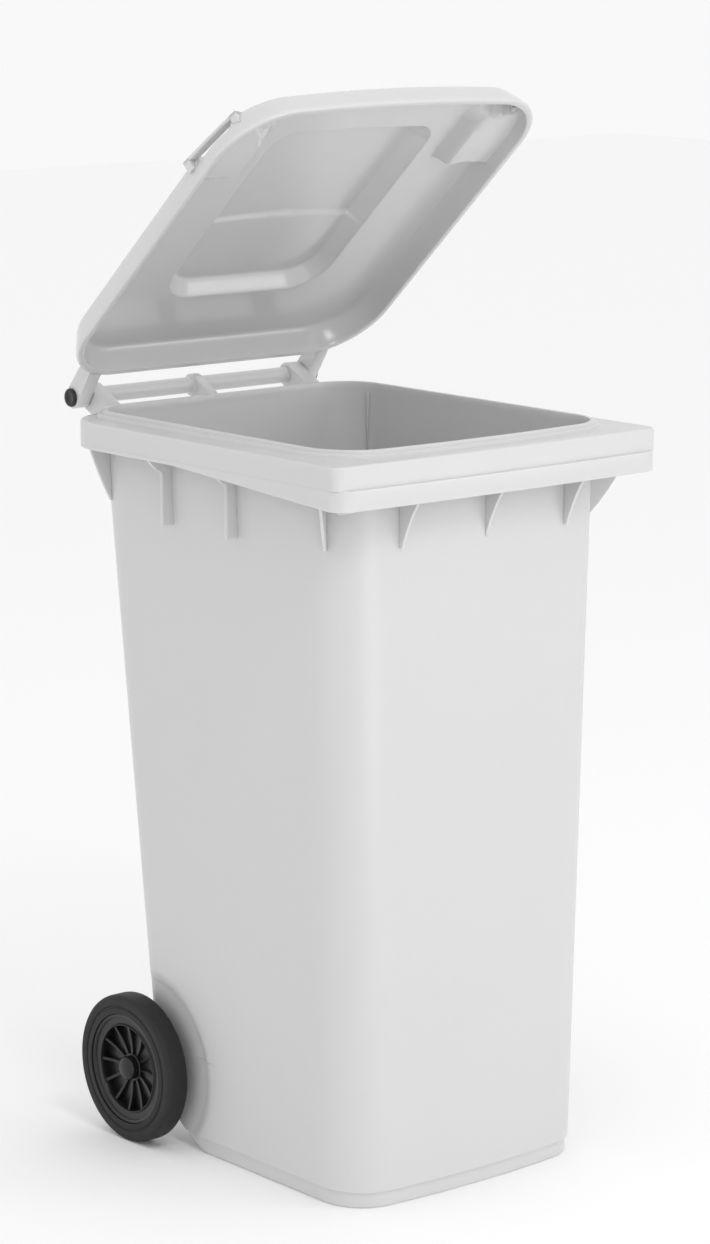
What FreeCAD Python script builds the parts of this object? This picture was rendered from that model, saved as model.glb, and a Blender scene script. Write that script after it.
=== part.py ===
import FreeCAD, Part
import math
import os

# Two-wheeled wheelie bin, 240 litre class.  Millimetres, +Z up, front of the bin towards -Y.
# The origin is on the floor under the middle of the bin's foot.
# The lid is modelled closed and then turned open about its hinge.

V = FreeCAD.Vector
os.makedirs("parts", exist_ok=True)

# ---- rim --------------------------------------------------------------------------------
RIM_TOP = 1018.0           # flat top of the rim above the floor
RIM_HALF_WIDTH = 282.5
RIM_FRONT = -300.0         # front face of the lower comb band
RIM_REAR = 308.0
RIM_CORNER = 26.0
RIM_REAR_CORNER = 76.0
RIM_BOW = 5.0              # how far the rim bows out along its front
RIM_WALL = 4.0
SKIRT_FRONT = 58.0         # depth of the skirt at the front
SKIRT_REAR = 37.0          # depth of the skirt at the rear
SKIRT_RAMP_START = 50.0    # where the skirt starts to deepen
SKIRT_RAMP_END = 24.0      # how far behind the front face it reaches its full depth
COMB_STEP = 31.0           # from the rim's top to the top of the lower comb band
COMB_PROUD = 6.0           # how far the lower comb band stands out
UPPER_CORNER = 14.0        # corner radius above the comb band
LEDGE_SIDE = 43.5          # from the rim's edge in to the body wall, at each side
LEDGE_FRONT = 47.0
LEDGE_REAR = 5.0
COLLAR_FOOT = 9.0          # how far the collar's lower bead reaches past the body wall
COLLAR_LIP = 1.5           # how far its upper bead does
COLLAR_LOW = 5.0           # height of the collar's lower bead
COLLAR_HIGH = 10.0         # height of the collar's top

# ---- body -------------------------------------------------------------------------------
WALL = 4.5                 # moulded wall of the body
FLOOR = 6.0                # bottom of the body
FOOT_HALF_WIDTH = 212.0    # outside of the body at the floor
FOOT_FRONT = -244.0        # front corners of the foot; the front bows out from there
FOOT_REAR = 216.0
FOOT_CORNER = 71.0         # front corner radius at the foot
FOOT_REAR_CORNER = 58.0
FOOT_BAND = 23.0           # height of the stepped-in band round the foot
FOOT_BAND_INSET = 4.0
FRONT_BOW = 6.5            # how far the front bows out over its width
MOUTH_CORNER = 76.0        # front corner radius right under the rim
MOUTH_REAR_CORNER = 62.0
HEEL_LENGTH = 97.0         # from the start of the rise under the rear to the axle
HEEL_RISE = 62.0           # height at which the rise meets the axle channel
AXLE_CHANNEL = 26.0        # radius of the clear channel round the axle

# ---- gussets and ribs -------------------------------------------------------------------
RIB_WALL = 4.0
RIB_ROOT = 2.0             # how deep ribs and gussets run into the rim above them
GUSSET_PITCH = 145.0
GUSSET_LENGTH = 122.0      # from the rim's top down to where the gussets run out
CORNER_GUSSET_REACH = 50.0
CORNER_GUSSET_TURN = 43.0  # degrees from straight sideways
CORNER_WEB_WIDTH = 28.0
CORNER_WEB_DROP = 7.0      # how far the web hangs below the skirt
SIDE_RIB_LENGTH = 129.0    # from the rim's top down to the foot of the side ribs
SIDE_RIB_REACH = 17.0
SIDE_RIB_PITCH = 140.0
SIDE_RIB_REAR = 114.0      # place of the rearmost of the two side ribs
REAR_GUSSET_INSET = 52.0   # from the rim's rear to the rear gussets

# ---- handle bar and lid hinge -----------------------------------------------------------
HINGE_BEHIND = 61.0        # from the rim's rear to the hinge
HINGE_RISE = 15.0          # from the rim's top to the hinge
BAR_RADIUS = 11.5
BAR_WEB = 14.0             # width of the web and ring at the middle of the bar
BAR_RING = 4.5             # how far the ring stands round the bar
LUG_INSIDE = 168.0         # inner face of the body's hinge lugs
LUG_WIDTH = 24.0
LUG_RADIUS = 18.0
ARM_GAP = 1.5              # side gap between a lug and the lid's arm
ARM_WIDTH = 22.0
ARM_RADIUS = 16.0
PIN_RADIUS = 8.0
PIN_CLEARANCE = 0.05       # radial, pin to lid arm
PIN_GRIP = 46.0            # how far the pin goes into the lug and the bar
PIN_HEAD_RADIUS = 13.0
PIN_HEAD = 4.0
PIN_HEAD_ROUND = 1.6
HEAD_GAP = 0.4

# ---- lid --------------------------------------------------------------------------------
LID_OPEN = 42.0            # degrees from closed
LID_SEAT = 13.0            # free edge of the closed lid above the rim's top
LID_SIDE_INSET = 11.5      # from the rim's edge in to the lid's
LID_FRONT_INSET = 43.0
LID_REAR_OVERHANG = 11.0
LID_CORNER = 97.0
LID_BOW = 7.0
LID_WALL = 3.5
LID_SKIRT = 30.0           # height of the lid's side
LID_SKIRT_DRAFT = 10.0
LID_CROWN = 9.0           # rise from the side's top to the flat of the crown
LID_CROWN_INSET = 14.0
LID_FLANGE = 9.0          # width of the thick free edge
LID_FLANGE_HEIGHT = 5.0
PANEL_HALF_WIDTH = 144.5
PANEL_FROM_HINGE = 166.0
PANEL_TO_HINGE = 532.0
PANEL_CORNER = 44.0
PANEL_BOW = 3.0
PANEL_RISE = 22.0
PANEL_DRAFT = 17.0
PANEL_STEP = 316.0         # from the hinge to the step across the panel
PANEL_STEP_RISE = 5.0
GRIP_LENGTH = 104.0
GRIP_BACK = 44.0           # from the lid's front edge to the grip
GRIP_STRAP = 16.0          # width of the strap
GRIP_SLANT = 24.0          # how much nearer the middle its front end is
GRIP_END = 10.0            # length of the strap's joint with the lid at each end
GRIP_LOW = 34.0            # underside of the strap above the lid's free edge
GRIP_THICKNESS = 5.0
RECESS_REACH = 85.0        # from the lid's edge in to the end of the finger recess
RECESS_FLOOR = 21.0        # floor of the recess above the lid's free edge
RECESS_CORNER = 18.0

# ---- axle and wheels --------------------------------------------------------------------
WHEEL_RADIUS = 105.0
WHEEL_WIDTH = 34.0
WHEEL_INSET = 13.0         # from the foot's rear line forward to the axle
WHEEL_STAND_OUT = 49.0     # from the foot's side out to the tyre's outer face
WHEEL_ROOM = 19.0          # gap between tyre and body
DISH_MARGIN = 18.0         # how far the dish in the body reaches round the tyre
DISH_FLARE = 60.0          # how far the wheel dish opens outwards
TYRE_DEPTH = 27.0          # radial thickness of the rubber
CORE_RING = 17.0           # radial thickness of the core's outer ring
AXLE_RADIUS = 10.0
AXLE_CLEARANCE = 0.08      # radial, hub to axle
HUB_WALL = 10.0
HUB_SET_IN = 12.0          # from the tyre's outer face to the hub's end
SPOKES = 12
SPOKE_WALL = 4.0
SPOKE_INSET = 6.0          # from the tyre's faces to the spokes' edges
WEB_WALL = 5.0
WASHER_WALL = 2.5
WASHER_LEDGE = 8.0         # how far the washer reaches past the axle
NUT_LEDGE = 5.0
NUT_WALL = 2.0
CAP_LEDGE = 7.0
CAP_SKIRT = 4.0            # straight part of the axle cap
CAP_RISE = 9.0             # its dome
SIDE_PLAY = 0.4
AXLE_LUG_WIDTH = 26.0
INNER_LUG_WIDTH = 10.0
INNER_LUG = 60.0           # place of the inner pair of axle brackets from the middle
AXLE_LUG_WALL = 10.0       # bracket round the axle

RIM_BOTTOM_FRONT = RIM_TOP - SKIRT_FRONT
RIM_BOTTOM_REAR = RIM_TOP - SKIRT_REAR
GUSSET_TIP = RIM_TOP - GUSSET_LENGTH
SIDE_RIB_FOOT = RIM_TOP - SIDE_RIB_LENGTH
MOUTH_HALF_WIDTH = RIM_HALF_WIDTH - LEDGE_SIDE
MOUTH_FRONT = RIM_FRONT + LEDGE_FRONT
MOUTH_REAR = RIM_REAR - LEDGE_REAR
HINGE_Y = RIM_REAR + HINGE_BEHIND
HINGE_Z = RIM_TOP + HINGE_RISE
LID_EDGE = RIM_TOP + LID_SEAT
LID_HALF_WIDTH = RIM_HALF_WIDTH - LID_SIDE_INSET
LID_FRONT = RIM_FRONT + LID_FRONT_INSET
LID_REAR = RIM_REAR + LID_REAR_OVERHANG
GRIP_FRONT = LID_FRONT + GRIP_BACK
GRIP_REAR = GRIP_FRONT + GRIP_LENGTH
WHEEL_OUTSIDE = FOOT_HALF_WIDTH + WHEEL_STAND_OUT
WHEEL_INSIDE = WHEEL_OUTSIDE - WHEEL_WIDTH
WHEEL_Y = FOOT_REAR - WHEEL_INSET
HEEL_FRONT = WHEEL_Y - HEEL_LENGTH
HUB_RADIUS = AXLE_RADIUS + HUB_WALL
AXLE_Z = WHEEL_RADIUS
CORE_RADIUS = WHEEL_RADIUS - TYRE_DEPTH
HUB_OUTSIDE = WHEEL_OUTSIDE - HUB_SET_IN
NUT_FROM = HUB_OUTSIDE + SIDE_PLAY
AXLE_END = NUT_FROM + NUT_WALL + CAP_SKIRT
REACH = 2000.0             # longer than anything, for cuts that go right through


def bowed_edge(start, end, bow):
    """Edge of an outline that stands out to its right-hand side by bow at its middle."""
    if bow == 0:
        return Part.LineSegment(start, end)
    middle = (start + end) * 0.5
    across = (end - start).cross(V(0, 0, 1)).normalize()
    return Part.Arc(start, middle + across * bow, end)


def corner_arc(start, end, centre):
    """Quarter round between two sides of an outline."""
    middle = (start + end) * 0.5 - centre
    return Part.Arc(start, centre + middle * ((start - centre).Length / middle.Length), end)


def outline(half_width, front, rear, front_corner, rear_corner, bow, z):
    """Rounded rectangle in plan whose front bows out."""
    r, s = front_corner, rear_corner
    left, right = -half_width, half_width
    return Part.Wire([edge.toShape() for edge in (
        Part.LineSegment(V(right, front + r, z), V(right, rear - s, z)),
        corner_arc(V(right, rear - s, z), V(right - s, rear, z), V(right - s, rear - s, z)),
        Part.LineSegment(V(right - s, rear, z), V(left + s, rear, z)),
        corner_arc(V(left + s, rear, z), V(left, rear - s, z), V(left + s, rear - s, z)),
        Part.LineSegment(V(left, rear - s, z), V(left, front + r, z)),
        corner_arc(V(left, front + r, z), V(left + r, front, z), V(left + r, front + r, z)),
        bowed_edge(V(left + r, front, z), V(right - r, front, z), bow),
        corner_arc(V(right - r, front, z), V(right, front + r, z), V(right - r, front + r, z)),
    )])


def prism(wire, height):
    return Part.Face(wire).extrude(V(0, 0, height))


def loft(low, high):
    return Part.makeLoft([low, high], True, True)


def plate_yz(points, x, thickness):
    """Plate across X, from x to x + thickness, with its outline given as (y, z)."""
    face = Part.Face(Part.makePolygon([V(x, y, z) for y, z in points + points[:1]]))
    return face.extrude(V(thickness, 0, 0))


def plate_xz(points, y, thickness):
    """Plate centred on y, with its outline given as (x, z)."""
    low = y - thickness / 2
    face = Part.Face(Part.makePolygon([V(x, low, z) for x, z in points + points[:1]]))
    return face.extrude(V(0, thickness, 0))


def cylinder_x(radius, x_from, x_to, y, z):
    low, high = min(x_from, x_to), max(x_from, x_to)
    return Part.makeCylinder(radius, high - low, V(low, y, z), V(1, 0, 0))


def box(x_from, x_to, y_from, y_to, z_from, z_to):
    return Part.makeBox(x_to - x_from, y_to - y_from, z_to - z_from, V(x_from, y_from, z_from))


def mirrored(shape):
    return shape.mirror(V(0, 0, 0), V(1, 0, 0))


def save(name, shape):
    solids = shape.removeSplitter().Solids
    shape = solids[0] if len(solids) == 1 else Part.makeCompound(solids)
    shape.exportStep("parts/" + name + ".step")
    print(name, len(solids), "solid(s), volume cm3", round(shape.Volume / 1000, 1),
          "valid" if shape.isValid() else "NOT VALID")


# ---- body -------------------------------------------------------------------------------
def between(low, high, z):
    """Value on the straight wall line from the floor to the rim."""
    return low + (high - low) * z / RIM_TOP


def body_outline(z, inset):
    return outline(between(FOOT_HALF_WIDTH, MOUTH_HALF_WIDTH, z) - inset,
                   between(FOOT_FRONT, MOUTH_FRONT, z) + inset,
                   between(FOOT_REAR, MOUTH_REAR, z) - inset,
                   between(FOOT_CORNER, MOUTH_CORNER, z) - inset,
                   between(FOOT_REAR_CORNER, MOUTH_REAR_CORNER, z) - inset,
                   FRONT_BOW, z)


def heel(wall):
    """Space under the rear of the foot and round the axle, larger by wall for the cavity."""
    rear = between(FOOT_REAR, MOUTH_REAR, AXLE_Z) + 60.0
    front = HEEL_FRONT - wall
    knee = WHEEL_Y - AXLE_CHANNEL - wall
    top = AXLE_Z + AXLE_CHANNEL + wall
    start = V(-REACH, front, 0)
    end = V(-REACH, knee, HEEL_RISE + wall)
    middle = V(-REACH, front + 0.62 * (knee - front), 0.34 * (HEEL_RISE + wall))
    lines = [end, V(-REACH, knee, AXLE_Z), V(-REACH, WHEEL_Y, top), V(-REACH, rear, top + 16.0),
             V(-REACH, rear, -50.0), V(-REACH, front, -50.0), start]
    edges = [Part.Arc(start, middle, end).toShape()]
    edges += [Part.LineSegment(p, q).toShape() for p, q in zip(lines[:-1], lines[1:])]
    return Part.Face(Part.Wire(edges)).extrude(V(2 * REACH, 0, 0))


def wheel_pockets(wall):
    """Shallow dishes in the body's sides behind the wheels, larger by wall for the cavity."""
    radius = WHEEL_RADIUS + DISH_MARGIN + wall
    floor = WHEEL_INSIDE - WHEEL_ROOM - wall
    dish = Part.makeCone(radius, radius + DISH_FLARE, DISH_FLARE, V(floor, WHEEL_Y, AXLE_Z),
                         V(1, 0, 0))
    return dish.fuse(mirrored(dish))


def body_tub():
    outer = loft(body_outline(0, 0), body_outline(RIM_TOP, 0))
    band = prism(body_outline(0, -20.0), FOOT_BAND)
    band = band.cut(prism(body_outline(0, FOOT_BAND_INSET), FOOT_BAND))
    outer = outer.cut([heel(0.0), wheel_pockets(0.0), band])
    cavity = loft(body_outline(0, WALL + FOOT_BAND_INSET), body_outline(RIM_TOP, WALL))
    below = box(-REACH, REACH, -REACH, REACH, -REACH, FLOOR)
    cavity = cavity.cut([below, heel(WALL), wheel_pockets(WALL)])
    return outer, cavity


def rim_outline(inset, z, corner=RIM_CORNER, set_back=0.0):
    return outline(RIM_HALF_WIDTH - inset, RIM_FRONT + RIM_BOW + set_back + inset,
                   RIM_REAR - inset, corner - inset, RIM_REAR_CORNER - inset, RIM_BOW, z)


def rim_block(inset):
    """Outer block of the rim, taken in by inset; the comb band stands proud at the front."""
    low = RIM_BOTTOM_FRONT - inset
    upper = prism(rim_outline(inset, low, UPPER_CORNER, COMB_PROUD), SKIRT_FRONT)
    lower = prism(rim_outline(inset, low), SKIRT_FRONT - COMB_STEP)
    return upper.fuse(lower)


def rim():
    """Top flange with its hanging skirt, deeper at the front than at the rear."""
    shape = rim_block(0).cut(rim_block(RIM_WALL))
    ramp = [(RIM_REAR + 10, RIM_BOTTOM_REAR), (SKIRT_RAMP_START, RIM_BOTTOM_REAR),
            (RIM_FRONT + SKIRT_RAMP_END, RIM_BOTTOM_FRONT),
            (RIM_FRONT + SKIRT_RAMP_END, RIM_BOTTOM_FRONT - 10),
            (RIM_REAR + 10, RIM_BOTTOM_FRONT - 10)]
    return shape.cut(plate_yz(ramp, -REACH, 2 * REACH))


def collar():
    """Raised bead in two steps round the mouth; the closed lid drops over it."""
    low = prism(body_outline(RIM_TOP, -COLLAR_FOOT), COLLAR_LOW + 1.0)
    high = prism(body_outline(RIM_TOP, -COLLAR_LIP), COLLAR_HIGH + 1.0)
    bead = low.fuse(high)
    bead.translate(V(0, 0, -1.0))
    return bead


def front_gusset(x):
    wall = MOUTH_FRONT + 1.0
    skirt = RIM_FRONT + RIM_BOW + 2.0
    points = [(wall, RIM_TOP - RIB_ROOT), (skirt + COMB_PROUD, RIM_TOP - RIB_ROOT),
              (skirt, RIM_TOP - COMB_STEP - RIB_ROOT), (skirt, RIM_BOTTOM_FRONT + RIB_ROOT),
              (wall - FRONT_BOW, GUSSET_TIP), (wall, GUSSET_TIP)]
    return plate_yz(points, x - RIB_WALL / 2, RIB_WALL)


def corner_gusset():
    """Gusset that runs out diagonally under a front corner of the rim."""
    top = RIM_TOP - RIB_ROOT
    reach = CORNER_GUSSET_REACH
    points = [V(0, 0, top), V(reach, 0, top), V(reach, 0, RIM_BOTTOM_FRONT + RIB_WALL),
              V(RIB_WALL, 0, GUSSET_TIP), V(0, 0, GUSSET_TIP)]
    plate = Part.Face(Part.makePolygon(points + points[:1])).extrude(V(0, RIB_WALL, 0))
    plate.translate(V(0, -RIB_WALL / 2, 0))
    plate.rotate(V(0, 0, 0), V(0, 0, 1), -CORNER_GUSSET_TURN)
    corner = MOUTH_CORNER * (1 - math.sqrt(0.5))
    plate.translate(V(MOUTH_HALF_WIDTH - 7.0, MOUTH_FRONT + 2 * corner + 2.5, 0))
    return plate


def corner_web():
    """Short web behind the skirt beside each corner gusset."""
    outer = RIM_HALF_WIDTH - RIM_CORNER + RIB_ROOT
    rear = MOUTH_FRONT - 2 * RIB_WALL
    return box(outer - CORNER_WEB_WIDTH, outer, rear - RIB_WALL, rear,
               RIM_BOTTOM_FRONT - CORNER_WEB_DROP, RIM_TOP - RIB_ROOT)


def side_rib(y):
    wall = between(FOOT_HALF_WIDTH, MOUTH_HALF_WIDTH, SIDE_RIB_FOOT)
    top = RIM_TOP - RIB_ROOT
    skirt = RIM_HALF_WIDTH - RIM_WALL
    reach = wall + SIDE_RIB_REACH
    points = [(wall - 1, top), (skirt, top), (skirt, RIM_BOTTOM_REAR + 1),
              (reach, RIM_BOTTOM_REAR - 20), (reach, SIDE_RIB_FOOT), (wall - 1, SIDE_RIB_FOOT)]
    return plate_xz(points, y, RIB_WALL)


def rear_gusset():
    wall = between(FOOT_HALF_WIDTH, MOUTH_HALF_WIDTH, GUSSET_TIP)
    skirt = RIM_HALF_WIDTH - RIM_WALL / 2 - 9.0
    root = wall - 2 * RIB_WALL
    tip = GUSSET_TIP + 2 * RIB_WALL
    points = [(root, RIM_TOP - RIB_ROOT), (skirt, RIM_TOP - RIB_ROOT),
              (skirt, RIM_BOTTOM_REAR + RIB_ROOT), (wall - RIB_ROOT, tip), (root, tip)]
    return plate_xz(points, RIM_REAR - REAR_GUSSET_INSET, RIB_WALL)


def hinge_lug():
    """Bracket from the rear of the rim to the hinge, with the pin's bore."""
    root = RIM_REAR - RIM_WALL + 1.0
    arm = plate_yz([(root, RIM_BOTTOM_REAR + RIB_ROOT), (root, RIM_TOP - 1),
                    (HINGE_Y - LUG_RADIUS / 3, HINGE_Z + 0.94 * LUG_RADIUS),
                    (HINGE_Y + LUG_RADIUS / 2, HINGE_Z - 0.84 * LUG_RADIUS)],
                   LUG_INSIDE, LUG_WIDTH)
    boss = cylinder_x(LUG_RADIUS, LUG_INSIDE, LUG_INSIDE + LUG_WIDTH, HINGE_Y, HINGE_Z)
    return arm.fuse(boss)


def centre_web():
    """Plate that ties the middle of the handle bar to the rim."""
    root = RIM_REAR - RIM_WALL + 1.0
    ring_radius = BAR_RADIUS + BAR_RING
    web = plate_yz([(root, RIM_BOTTOM_REAR + RIB_ROOT + BAR_RING), (root, RIM_TOP - 1),
                    (HINGE_Y - 3, HINGE_Z + BAR_RADIUS), (HINGE_Y + 6, HINGE_Z - 0.9 * ring_radius)],
                   -BAR_WEB / 2, BAR_WEB)
    ring = cylinder_x(ring_radius, -BAR_WEB / 2, BAR_WEB / 2, HINGE_Y, HINGE_Z)
    return web.fuse(ring)


def axle_lug(x_from, x_to, boss_to):
    """Bracket in the channel under the rear wall that carries the axle; its boss runs on."""
    radius = AXLE_RADIUS + AXLE_LUG_WALL
    front = WHEEL_Y - AXLE_CHANNEL - WALL + 1.5
    top = AXLE_Z + AXLE_CHANNEL + WALL
    plate = plate_yz([(front, top), (WHEEL_Y, top + 3.0), (WHEEL_Y + radius, AXLE_Z),
                      (WHEEL_Y + radius / 3, AXLE_Z - 0.94 * radius),
                      (front, AXLE_Z - 1.7 * radius)], x_from, x_to - x_from)
    return plate.fuse(cylinder_x(radius, x_from, boss_to, WHEEL_Y, AXLE_Z))


def make_body():
    tub, cavity = body_tub()
    pieces = [rim(), collar()]
    pieces += [front_gusset(k * GUSSET_PITCH) for k in (-1, 0, 1)]
    boss_end = WHEEL_INSIDE - SIDE_PLAY - WASHER_WALL
    lug_end = WHEEL_INSIDE - WHEEL_ROOM
    pairs = [corner_gusset(), corner_web(), rear_gusset(), hinge_lug()]
    inner_end = INNER_LUG + INNER_LUG_WIDTH
    pairs += [axle_lug(lug_end - AXLE_LUG_WIDTH, lug_end, boss_end),
              axle_lug(INNER_LUG, inner_end, inner_end)]
    pairs += [side_rib(SIDE_RIB_REAR), side_rib(SIDE_RIB_REAR - SIDE_RIB_PITCH)]
    for piece in pairs:
        pieces += [piece, mirrored(piece)]
    pieces += [centre_web(), cylinder_x(BAR_RADIUS, -LUG_INSIDE - 2, LUG_INSIDE + 2,
                                        HINGE_Y, HINGE_Z)]
    shape = tub.fuse(pieces)
    shape = shape.cut(cavity)
    mouth = prism(body_outline(RIM_TOP, WALL), 2 * COLLAR_HIGH)
    mouth.translate(V(0, 0, -COLLAR_HIGH / 2))
    shape = shape.cut(mouth)
    bore_from = LUG_INSIDE + LUG_WIDTH - PIN_GRIP
    bore = cylinder_x(PIN_RADIUS, bore_from, LUG_INSIDE + LUG_WIDTH + 1, HINGE_Y, HINGE_Z)
    shape = shape.cut([bore, mirrored(bore)])
    return shape.cut(cylinder_x(AXLE_RADIUS, -REACH, REACH, WHEEL_Y, AXLE_Z))


# ---- lid --------------------------------------------------------------------------------
def lid_outline(inset, z):
    return outline(LID_HALF_WIDTH - inset, LID_FRONT + inset, LID_REAR - inset,
                   LID_CORNER - inset * 0.6, LID_CORNER - inset * 0.6, LID_BOW, z)


def panel_outline(inset, z):
    return outline(PANEL_HALF_WIDTH - inset, HINGE_Y - PANEL_TO_HINGE + inset,
                   HINGE_Y - PANEL_FROM_HINGE - inset, PANEL_CORNER, PANEL_CORNER, PANEL_BOW, z)


def lid_skin(inset, drop):
    """Solid up to the lid's skin, taken in by inset and down by drop."""
    edge = LID_EDGE
    top = edge + LID_SKIRT - drop
    side = loft(lid_outline(inset, edge), lid_outline(LID_SKIRT_DRAFT + inset, top))
    crown = loft(lid_outline(LID_SKIRT_DRAFT + inset, top),
                 lid_outline(LID_SKIRT_DRAFT + LID_CROWN_INSET + inset, top + LID_CROWN))
    high = top + LID_CROWN
    panel = loft(panel_outline(inset, high - 4.0),
                 panel_outline(PANEL_DRAFT + inset, high + PANEL_RISE))
    step_front = HINGE_Y - PANEL_STEP
    step = panel_outline(PANEL_DRAFT + inset + 1.0, high + PANEL_RISE - 1.0)
    step = prism(step, PANEL_STEP_RISE + 1.0)
    step = step.common(box(-REACH, REACH, -REACH, step_front - inset, 0, REACH))
    return side.fuse([crown, panel, step])


def is_inner_upright(edge, x):
    bounds = edge.BoundBox
    return bounds.ZLength > 1.0 and bounds.XMax < x + 0.1


def grip_recess(wall):
    """Finger recess beside each grip, larger by wall for the moulding round it."""
    inner = LID_HALF_WIDTH - RECESS_REACH - wall
    recess = box(inner, REACH, GRIP_FRONT + GRIP_END - wall, GRIP_REAR - GRIP_END + wall,
                 LID_EDGE + RECESS_FLOOR - wall, REACH)
    corners = [e for e in recess.Edges if is_inner_upright(e, inner)]
    return recess.makeFillet(RECESS_CORNER + wall, corners)


def grip_strap(hollow):
    """Bar over the recess that the hand closes round, with a foot at each end."""
    outer = LID_HALF_WIDTH
    corners = [(outer - GRIP_STRAP, GRIP_REAR), (outer, GRIP_REAR),
               (outer - GRIP_SLANT, GRIP_FRONT), (outer - GRIP_SLANT - GRIP_STRAP, GRIP_FRONT)]
    low = LID_EDGE + GRIP_LOW
    foot = LID_EDGE + RECESS_FLOOR
    plan = Part.Face(Part.makePolygon([V(x, y, foot) for x, y in corners + corners[:1]]))
    feet = plan.extrude(V(0, 0, low + GRIP_THICKNESS - foot))
    gap = box(0, REACH, GRIP_FRONT + GRIP_END, GRIP_REAR - GRIP_END, 0, low)
    span = box(0, REACH, GRIP_FRONT, GRIP_REAR, low, REACH)
    return feet.common(span).fuse(feet.cut([gap, hollow]))


def lid_arm():
    """Hinge arm from the lid's rear edge to the pin."""
    inside = LUG_INSIDE + LUG_WIDTH + ARM_GAP
    root = LID_REAR - LID_SKIRT_DRAFT
    arm = plate_yz([(root, LID_EDGE + 2), (root, LID_EDGE + 0.8 * LID_SKIRT),
                    (HINGE_Y - 2, HINGE_Z + 0.97 * ARM_RADIUS),
                    (HINGE_Y + 4, HINGE_Z - 0.96 * ARM_RADIUS)], inside, ARM_WIDTH)
    return arm.fuse(cylinder_x(ARM_RADIUS, inside, inside + ARM_WIDTH, HINGE_Y, HINGE_Z))


def make_lid():
    outer = lid_skin(0, 0)
    hollow = lid_skin(LID_WALL, LID_WALL)
    hollow = hollow.cut(box(-REACH, REACH, -REACH, REACH, 0, LID_EDGE + LID_FLANGE_HEIGHT))
    mouth = prism(lid_outline(LID_FLANGE, LID_EDGE - 1.0), LID_FLANGE_HEIGHT + 2.0)
    walls = grip_recess(LID_WALL).common(outer)
    recess = grip_recess(0.0)
    shape = outer.cut([hollow, mouth]).fuse([walls, mirrored(walls)])
    shape = shape.cut([recess, mirrored(recess)])
    strap = grip_strap(hollow)
    arm = lid_arm()
    shape = shape.fuse([strap, mirrored(strap), arm, mirrored(arm)])
    bore = cylinder_x(PIN_RADIUS + PIN_CLEARANCE, 0, REACH, HINGE_Y, HINGE_Z)
    return shape.cut([bore, mirrored(bore)])


def opened(shape):
    turned = shape.copy()
    turned.rotate(V(0, HINGE_Y, HINGE_Z), V(1, 0, 0), -LID_OPEN)
    return turned


def hinge_pin():
    """Push-in pin whose round head holds the lid's arm."""
    face = LUG_INSIDE + LUG_WIDTH + ARM_GAP + ARM_WIDTH + HEAD_GAP
    inner = LUG_INSIDE + LUG_WIDTH - PIN_GRIP
    shank = cylinder_x(PIN_RADIUS, inner, face + 1, HINGE_Y, HINGE_Z)
    head = cylinder_x(PIN_HEAD_RADIUS, face, face + PIN_HEAD, HINGE_Y, HINGE_Z)
    rim_edges = [e for e in head.Edges if e.BoundBox.XMin > face + PIN_HEAD - 0.1]
    head = head.makeFillet(PIN_HEAD_ROUND, rim_edges)
    return shank.fuse(head)


# ---- axle and wheels --------------------------------------------------------------------
def ring_x(outer, inner, x_from, x_to):
    big = cylinder_x(outer, x_from, x_to, WHEEL_Y, AXLE_Z)
    return big.cut(cylinder_x(inner, x_from - 1, x_to + 1, WHEEL_Y, AXLE_Z))


def revolved_x(points):
    """Solid turned about the axle from (x, radius) points."""
    face = Part.Face(Part.makePolygon([V(x, WHEEL_Y, AXLE_Z + r) for x, r in points + points[:1]]))
    return face.revolve(V(0, WHEEL_Y, AXLE_Z), V(1, 0, 0), 360)


def tyre():
    """Solid rubber ring with a groove in each shoulder and a crowned tread."""
    i, o, r = WHEEL_INSIDE, WHEEL_OUTSIDE, WHEEL_RADIUS
    half = [(0.0, CORE_RADIUS), (0.0, CORE_RADIUS + 8), (1.5, CORE_RADIUS + 9.5),
            (1.5, CORE_RADIUS + 11.5), (0.0, CORE_RADIUS + 13), (0.0, r - 4), (3.0, r - 1),
            (8.0, r)]
    inner_side = [(i + x, rad) for x, rad in half]
    outer_side = [(o - x, rad) for x, rad in reversed(half)]
    return revolved_x(inner_side + outer_side)


def wheel_core():
    """Moulded core: rim ring, web and spokes round a hub bored for the axle."""
    rim_inner = CORE_RADIUS - CORE_RING
    mid = (WHEEL_INSIDE + WHEEL_OUTSIDE) / 2
    ring = ring_x(CORE_RADIUS, rim_inner, WHEEL_INSIDE + 3, WHEEL_OUTSIDE - 2)
    web = ring_x(rim_inner + 1, HUB_RADIUS - 1, mid - WEB_WALL, mid)
    hub = ring_x(HUB_RADIUS, AXLE_RADIUS + AXLE_CLEARANCE, WHEEL_INSIDE, HUB_OUTSIDE)
    spokes = []
    for k in range(SPOKES):
        spoke = box(WHEEL_INSIDE + SPOKE_INSET, WHEEL_OUTSIDE - SPOKE_INSET, WHEEL_Y - SPOKE_WALL / 2,
                    WHEEL_Y + SPOKE_WALL / 2, AXLE_Z + HUB_RADIUS - 2, AXLE_Z + rim_inner + 2)
        spoke.rotate(V(0, WHEEL_Y, AXLE_Z), V(1, 0, 0), k * 360.0 / SPOKES)
        spokes.append(spoke)
    return ring.fuse([web, hub] + spokes)


def push_nut():
    """Spring-steel push-on ring that keeps the wheel on the axle."""
    return ring_x(AXLE_RADIUS + NUT_LEDGE, AXLE_RADIUS, NUT_FROM, NUT_FROM + NUT_WALL)


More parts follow.
